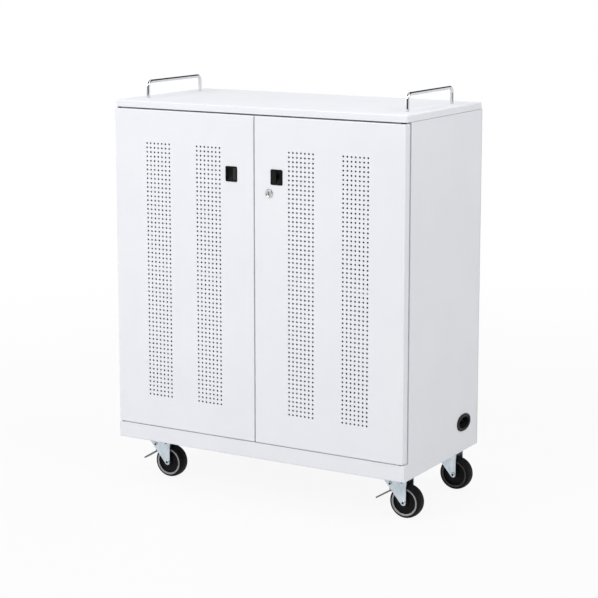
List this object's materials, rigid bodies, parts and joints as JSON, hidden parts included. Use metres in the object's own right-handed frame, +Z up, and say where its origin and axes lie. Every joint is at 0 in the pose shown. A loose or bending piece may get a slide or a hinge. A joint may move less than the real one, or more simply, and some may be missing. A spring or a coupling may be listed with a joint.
{
  "type": "laptop storage cabinet",
  "caption": "White steel laptop storage cabinet on swivel casters, with two perforated hinged doors, a key lock, push handles on the top and upright laptop slots inside.",
  "frame": {"origin": "on the floor, under the middle of the cabinet", "axes": "+X to the right as seen from the front, +Y from the front to the back, +Z up"},
  "size_m": [0.753, 0.373, 0.929],
  "materials": {
    "white_paint": "satin powder coat",
    "chrome": "polished",
    "zinc": "bright zinc plate",
    "brass_plug": "nickel plated",
    "black_plastic": "fine texture",
    "wheel_centre": "moulded",
    "tyre": "solid rubber",
    "divider_grey": "satin powder coat",
    "nylon": "moulded",
    "magnet": "bonded ferrite"
  },
  "bodies": {
    "cabinet": {"left_side_panel": "white_paint", "right_side_panel": "white_paint", "back_panel": "white_paint", "base_pan": "white_paint", "top_panel": "white_paint", "top_rail": "white_paint", "centre_post": "white_paint", "middle_shelf": "white_paint", "shelf_rails": "white_paint", "lower_dividers": "divider_grey", "upper_dividers": "divider_grey", "caster_rails": "white_paint", "caster_bolts": "zinc", "cable_outlet": "black_plastic", "left_push_handle": "chrome", "right_push_handle": "chrome", "handle_screws": "zinc", "hinge_bushes": "nylon", "door_catches": "magnet", "front_left_caster_plate": "zinc", "front_right_caster_plate": "zinc", "rear_left_caster_plate": "zinc", "rear_right_caster_plate": "zinc"},
    "left_door": {"left_door_panel": "white_paint", "left_door_stiffener": "white_paint", "left_pull": "black_plastic", "left_hinge_pins": "zinc", "left_catch_plate": "zinc"},
    "right_door": {"right_door_panel": "white_paint", "right_door_stiffener": "white_paint", "right_pull": "black_plastic", "right_hinge_pins": "zinc", "right_catch_plate": "zinc", "lock_housing": "chrome", "lock_nut": "zinc"},
    "lock": {"lock_plug": "brass_plug", "lock_cam": "zinc", "cam_screw": "zinc"},
    "front_left_brake": {"front_left_brake_pedal": "zinc"},
    "front_left_swivel": {"front_left_fork": "zinc", "front_left_axle": "zinc", "front_left_brake_pin": "zinc"},
    "front_left_wheel": {"front_left_hub": "wheel_centre", "front_left_tyre": "tyre"},
    "front_right_brake": {"front_right_brake_pedal": "zinc"},
    "front_right_swivel": {"front_right_fork": "zinc", "front_right_axle": "zinc", "front_right_brake_pin": "zinc"},
    "front_right_wheel": {"front_right_hub": "wheel_centre", "front_right_tyre": "tyre"},
    "rear_left_swivel": {"rear_left_fork": "zinc", "rear_left_axle": "zinc"},
    "rear_left_wheel": {"rear_left_hub": "wheel_centre", "rear_left_tyre": "tyre"},
    "rear_right_swivel": {"rear_right_fork": "zinc", "rear_right_axle": "zinc"},
    "rear_right_wheel": {"rear_right_hub": "wheel_centre", "rear_right_tyre": "tyre"}
  },
  "joints": [
    {"name": "left_door_hinge", "type": "hinge", "parent": "cabinet", "child": "left_door", "pos_m": [-0.3625, -0.176, 0.5045], "axis": [0, 0, -1], "range_deg": [0, 110]},
    {"name": "right_door_hinge", "type": "hinge", "parent": "cabinet", "child": "right_door", "pos_m": [0.3625, -0.176, 0.5045], "axis": [0, 0, 1], "range_deg": [0, 110]},
    {"name": "lock_turn", "type": "hinge", "parent": "right_door", "child": "lock", "pos_m": [0.039, -0.175, 0.7025], "axis": [0, 1, 0], "range_deg": [0, 90]},
    {"name": "front_left_swivel_turn", "type": "hinge", "parent": "cabinet", "child": "front_left_swivel", "pos_m": [-0.3105, -0.108, 0.1], "axis": [0, 0, 1], "continuous": true},
    {"name": "front_left_wheel_spin", "type": "hinge", "parent": "front_left_swivel", "child": "front_left_wheel", "pos_m": [-0.278, -0.108, 0.0375], "axis": [0, 1, 0], "continuous": true},
    {"name": "front_left_brake_lift", "type": "hinge", "parent": "front_left_swivel", "child": "front_left_brake", "pos_m": [-0.3105, -0.108, 0.0766], "axis": [0, 1, 0], "range_deg": [0, 20]},
    {"name": "front_right_swivel_turn", "type": "hinge", "parent": "cabinet", "child": "front_right_swivel", "pos_m": [0.3105, -0.108, 0.1], "axis": [0, 0, 1], "continuous": true},
    {"name": "front_right_wheel_spin", "type": "hinge", "parent": "front_right_swivel", "child": "front_right_wheel", "pos_m": [0.343, -0.108, 0.0375], "axis": [0, 1, 0], "continuous": true},
    {"name": "front_right_brake_lift", "type": "hinge", "parent": "front_right_swivel", "child": "front_right_brake", "pos_m": [0.3105, -0.108, 0.0766], "axis": [0, 1, 0], "range_deg": [0, 20]},
    {"name": "rear_left_swivel_turn", "type": "hinge", "parent": "cabinet", "child": "rear_left_swivel", "pos_m": [-0.3105, 0.14, 0.1], "axis": [0, 0, 1], "continuous": true},
    {"name": "rear_left_wheel_spin", "type": "hinge", "parent": "rear_left_swivel", "child": "rear_left_wheel", "pos_m": [-0.278, 0.14, 0.0375], "axis": [0, 1, 0], "continuous": true},
    {"name": "rear_right_swivel_turn", "type": "hinge", "parent": "cabinet", "child": "rear_right_swivel", "pos_m": [0.3105, 0.14, 0.1], "axis": [0, 0, 1], "continuous": true},
    {"name": "rear_right_wheel_spin", "type": "hinge", "parent": "rear_right_swivel", "child": "rear_right_wheel", "pos_m": [0.343, 0.14, 0.0375], "axis": [0, 1, 0], "continuous": true}
  ]
}
